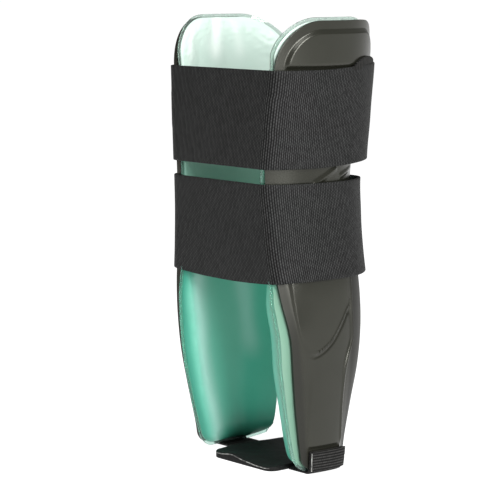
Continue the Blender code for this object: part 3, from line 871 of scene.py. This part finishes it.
def makePillow(name, node, side, shift, material):
    half = airCell["rimThickness"] / 2.0

    def outerFace(across, up):
        y, z, edge = cellSurface(across, up, shift)
        rimX, wallX, _ = rimPlace(y, z, shift)
        x = rimX + half + (wallX - rimX - half) * cellSwell(edge, airCell["round"])
        return Vector((side * x, y, z))

    def innerFace(across, up):
        y, z, edge = cellSurface(across, up, shift)
        rimX, _, moved = rimPlace(y, z, shift)
        puff = cellSection(z)[4] * airCell["puff"] - cellDents(y, z) + moved
        reach = airCell["shoulder"] if shift else airCell["round"]
        return Vector((side * (rimX - half - puff * cellSwell(edge, reach) - cellWrinkle(y, z, edge)), y, z))

    outer = startGrid("cellOuter", airCell["columns"], airCell["rows"], outerFace)
    inner = startGrid(name, airCell["columns"], airCell["rows"], innerFace)
    bpy.ops.object.select_all(action="DESELECT")
    outer.select_set(True)
    inner.select_set(True)
    bpy.context.view_layer.objects.active = inner
    bpy.ops.object.join()
    pillow = activePiece(name)

    def bridgeRims():
        bpy.ops.mesh.select_all(action="DESELECT")
        bpy.ops.mesh.select_non_manifold(extend=False, use_wire=False, use_boundary=True,
                                         use_multi_face=False, use_non_contiguous=False, use_verts=False)
        bpy.ops.mesh.bridge_edge_loops()
        bpy.ops.mesh.select_all(action="SELECT")

    editPiece(pillow, bridgeRims, faceOut)
    shadeRound(pillow, 60.0)
    finishPiece(pillow, material, "vinyl", node)


def makeCells():
    vinyl, clear = vinylFilm(), clearRim()
    for word, side, shift in (("lateral", 1.0, airCell["lateralRimShift"]), ("medial", -1.0, 0.0)):
        node = word + "_air_cell"
        makePillow(word + "AirCell", node, side, shift, vinyl)
        makeRim(word + "CellRim", node, side, shift, clear)
    print("air cells done")


def strapPath(z, stands, corner):
    # plan loop of the strap's inner face at one height, its folds rounded, with the length up to each point
    spacing = 0.0005
    _, frontY, _, rearY, _ = shellSection(z)
    side = []
    for step in range(61):
        share = step / 60.0
        y = frontY + (rearY - frontY) * share
        stand = stands[1] + (stands[0] - stands[1]) * (1.0 - smoothStep(0.0, shell["crownPlace"], share))
        stand += (stands[2] - stands[1]) * smoothStep(shell["crownPlace"], 1.0, share)
        point = facePoint(y, z, stand * straps["thickness"] + 0.0004)
        side.append(Vector((point.x, point.y)))
    loop = side + [Vector((-p.x, p.y)) for p in side[::-1]]
    dense = []
    for first, second in zip(loop, loop[1:] + loop[:1]):
        pieces = max(1, int((second - first).length / spacing))
        dense += [first.lerp(second, index / pieces) for index in range(pieces)]
    reach = max(1, int(corner / spacing))
    rounded = []
    count = len(dense)
    for index in range(count):
        window = [dense[(index + offset) % count] for offset in range(-reach, reach + 1)]
        rounded.append(sum(window, Vector((0.0, 0.0))) / len(window))
    lengths = [0.0]
    for first, second in zip(rounded, rounded[1:] + rounded[:1]):
        lengths.append(lengths[-1] + (second - first).length)
    return rounded, lengths


def walkPath(path, share):
    points, lengths = path
    goal = share * lengths[-1]
    low, high = 0, len(lengths) - 1
    while high - low > 1:
        middle = (low + high) // 2
        if lengths[middle] <= goal:
            low = middle
        else:
            high = middle
    part = (goal - lengths[low]) / max(1e-9, lengths[low + 1] - lengths[low])
    return points[low % len(points)].lerp(points[(low + 1) % len(points)], min(1.0, max(0.0, part)))


def makeStrap(name, node, height, stand, rearRise, frontDroop):
    paths = []
    for row in range(straps["rows"] + 1):
        share = row / straps["rows"]
        z = height + straps["width"] * share
        paths.append(strapPath(z, readTable(stand, share), straps["cornerRound"]))
    frontY = min(point.y for points, _ in paths for point in points)
    rearY = max(point.y for points, _ in paths for point in points)

    def place(across, up):
        share = min(1.0, max(0.0, up))
        point = walkPath(paths[round(share * straps["rows"])], across % 1.0)
        back = smoothStep(0.3, 1.0, (point.y - frontY) / (rearY - frontY))
        middle = 1.0 - min(1.0, abs(point.x) / shell["halfSpread"]) ** 2
        droop = frontDroop * middle * (1.0 - back) * (1.0 - share) ** 2
        return Vector((point.x, point.y, height + straps["width"] * share + rearRise * back - droop))

    strap = startGrid(name, straps["columns"], straps["rows"], place)
    editPiece(strap, weldPoints())
    turnFaces(strap, Vector((1.0, 0.0, 0.0)))
    useModifier(strap, "SOLIDIFY", thickness=straps["thickness"], offset=1.0)
    bevelEdges(strap, straps["edgeRound"], 3)
    shadeRound(strap)
    length = paths[straps["rows"] // 2][1][-1]
    ribs = round(length / straps["ribPitch"] / 2.0) * 2.0
    picks = straps["width"] / straps["pickPitch"]
    web = elasticWeb(name + "Web", ribs, picks, straps["darkYarnGrooveShade"], straps["lightYarnCrestLight"])
    finishPiece(strap, web, "elastic", node)
    print(name, "done, loop length", round(length, 4))


def padPoint(low, size, across, up):
    x, y = (across - 0.5) * size.x, (up - 0.5) * size.y
    corner = heel["padCorner"]
    overX = max(0.0, abs(x) - size.x / 2.0 + corner)
    overY = max(0.0, abs(y) - size.y / 2.0 + corner)
    if overX > 0.0 and overY > 0.0:
        reach = max(overX, overY) / math.hypot(overX, overY)
        x = math.copysign(size.x / 2.0 - corner + overX * reach, x)
        y = math.copysign(size.y / 2.0 - corner + overY * reach, y)
    return low.x + size.x / 2.0 + x, low.y + size.y / 2.0 + y


def padTop(height, x, y):
    for bumpX, bumpY, halfX, halfY, rise in heel["padBumps"]:
        height += rise * math.exp(-((x - bumpX) / halfX) ** 2 - ((y - bumpY) / halfY) ** 2)
    return height + 0.00018 * noise.noise(Vector((x * 160.0, y * 160.0, 2.0)))


def makePad():
    low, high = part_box("heel_pad")
    size = high - low

    def bottom(across, up):
        x, y = padPoint(low, size, across, up)
        return Vector((x, y, 0.0))

    pad = startGrid("heelPad", heel["padCuts"], heel["padCuts"], bottom)
    useModifier(pad, "SOLIDIFY", thickness=size.z, offset=1.0)
    for vertex in pad.data.vertices:
        if vertex.co.z > size.z / 2.0:
            vertex.co.z = padTop(high.z, vertex.co.x, vertex.co.y)
    editPiece(pad, faceOut)
    bevelEdges(pad, heel["padRound"], 4)
    shadeRound(pad)
    finishPiece(pad, paddedCloth(), "pad_fabric", "heel_pad")

    # light stitching just below the top edge of the front
    points, steps = [], 120
    for step in range(steps + 1):
        x, y = padPoint(low, size, 0.03 + 0.94 * step / steps, 0.0)
        y += 0.0001
        points.append(Vector((x, y, padTop(high.z, x, y) - 0.0007)))
    thread = makeThread("padThread", points, heel["threadRadius"])
    finishPiece(thread, threadCord(), "pad_fabric", "heel_pad")
    print("pad done")


def makeThread(name, points, radius):
    # a round thread along a list of points, as a tube of six sides
    sides, count = 6, len(points)

    def place(across, up):
        index = round(across * (count - 1))
        ahead = (points[min(count - 1, index + 1)] - points[max(0, index - 1)]).normalized()
        sideways = ahead.cross(Vector((0.0, 0.0, 1.0)))
        sideways = sideways.normalized() if sideways.length > 0.001 else Vector((1.0, 0.0, 0.0))
        upward = sideways.cross(ahead)
        turn = 2.0 * math.pi * up
        return points[index] + (sideways * math.cos(turn) + upward * math.sin(turn)) * radius

    thread = startGrid(name, count - 1, sides, place)
    editPiece(thread, weldPoints(0.000005), lambda: bpy.ops.mesh.select_non_manifold(extend=False),
              lambda: bpy.ops.mesh.edge_face_add(), lambda: bpy.ops.mesh.select_all(action="SELECT"), faceOut)
    shadeRound(thread, 60.0)
    return thread


def tabRoute(side, y, start, top):
    # side view of a tab's inner face at one y: along the floor, round the shell's foot and up
    foot = facePoint(y, shell["lift"], 0.0004).x
    thickness = heel["tabThickness"]
    points = [(start + (foot - thickness - start) * step / 8.0, thickness) for step in range(9)]
    for step in range(1, 7):
        turn = math.pi / 2.0 * step / 6.0
        points.append((foot - thickness + thickness * math.sin(turn), thickness * (2.0 - math.cos(turn))))
    for step in range(1, 13):
        z = thickness * 2.0 + (top - thickness * 2.0) * step / 12.0
        points.append((facePoint(y, max(z, shell["lift"]), 0.0004).x, z))
    return [Vector((side * x, y, z)) for x, z in points]


def flatPiece(name, place, thickness, normal):
    piece = startGrid(name, heel["tabColumns"], heel["tabColumns"], place)
    turnFaces(piece, normal)
    useModifier(piece, "SOLIDIFY", thickness=thickness, offset=1.0)
    bevelEdges(piece, 0.0004, 3)
    shadeRound(piece)
    return piece


def makeTabs():
    web = elasticWeb("tabWeb", 24.0, 18.0, (0.002, 0.002, 0.002), (0.034, 0.033, 0.031), 0.8)
    plyWeb = elasticWeb("plyWeb", 7.0, 19.0, (0.002, 0.002, 0.002), (0.062, 0.061, 0.058), 1.0)
    thread = threadCord()
    padLow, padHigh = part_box("heel_pad")
    thickness = heel["tabThickness"]
    for word, (side, firstY, width, top) in heel["tabs"].items():
        name, node = word + "HeelTab", word + "_heel_tab"
        start = (padHigh.x if side > 0.0 else -padLow.x) + 0.0004
        outward = Vector((side, 0.0, 0.0))

        def place(across, up):
            route = tabRoute(side, firstY + width * up, start, top)
            spot = across * (len(route) - 1)
            index = min(len(route) - 2, int(spot))
            return route[index].lerp(route[index + 1], spot - index)

        tab = flatPiece(name, place, thickness, Vector((0.0, 0.0, -1.0)))
        finishPiece(tab, web, "elastic", node)

        # the folded end of the webbing, a second ply on the shell's outer face
        def placePly(across, up):
            y = firstY + 0.0006 + (width - 0.0006) * up
            z = 0.0022 + (top - 0.0004 - 0.0022) * across
            lift = 0.0006 + thickness + 0.0004 * math.sin(math.pi * across)
            return Vector((side * facePoint(y, max(z, shell["lift"]), lift).x, y, z))

        ply = flatPiece(word + "TabPly", placePly, heel["tabPly"], outward)
        finishPiece(ply, plyWeb, "elastic", node)
        seam = []
        for step in range(41):
            z = 0.0020 + (top - 0.0028) * step / 40.0
            x = facePoint(firstY, max(z, shell["lift"]), 0.0004 + thickness + heel["tabPly"] * 0.7).x
            seam.append(Vector((side * x, firstY + 0.0004, z)))
        edge = makeThread(word + "TabThread", seam, heel["threadRadius"] * 1.3)
        finishPiece(edge, thread, "elastic", node)

        if word == "lateral":
            tailFirst, tailLast, tailLow, tailHigh = heel["tail"]

            def placeTail(across, up):
                y, z = tailFirst + (tailLast - tailFirst) * up, tailLow + (tailHigh - tailLow) * across
                return Vector((facePoint(y, z, 0.0008).x, y, z))

            tail = flatPiece("lateralTabTail", placeTail, 0.0011, outward)
            finishPiece(tail, web, "elastic", node)
        route = tabRoute(side, firstY + width / 2.0, start, top)
    print("tabs done")


def makePatch():
    def place(across, up):
        y = patch["firstY"] + (patch["lastY"] - patch["firstY"]) * across
        z = patch["bottom"] + (readTable(patch["top"], y)[0] - patch["bottom"]) * up
        return facePoint(y, z, shell["topRaise"] + 0.0003)

    tape = startGrid("hookPatch", patch["columns"], patch["rows"], place)
    turnFaces(tape, Vector((1.0, 0.0, 0.0)))
    useModifier(tape, "SOLIDIFY", thickness=patch["thickness"], offset=1.0)
    bevelEdges(tape, 0.0003, 2)
    shadeRound(tape)
    hooks = elasticWeb("hookTape", 18.0, 5.0, (0.002, 0.002, 0.002), (0.040, 0.039, 0.035), 1.0)
    finishPiece(tape, hooks, "hook_tape", "upper_hook_patch")
    print("patch done")


setCamera()
setLights()
makeFloor()
makeShells()
makeCells()
makeStrap("upperStrap", "upper_strap", straps["upperHeight"], straps["upperStand"],
          straps["upperRearRise"], 0.0)
makeStrap("lowerStrap", "lower_strap", straps["lowerHeight"], straps["lowerStand"],
          0.0, straps["lowerFrontDroop"])
makePad()
makeTabs()
makePatch()
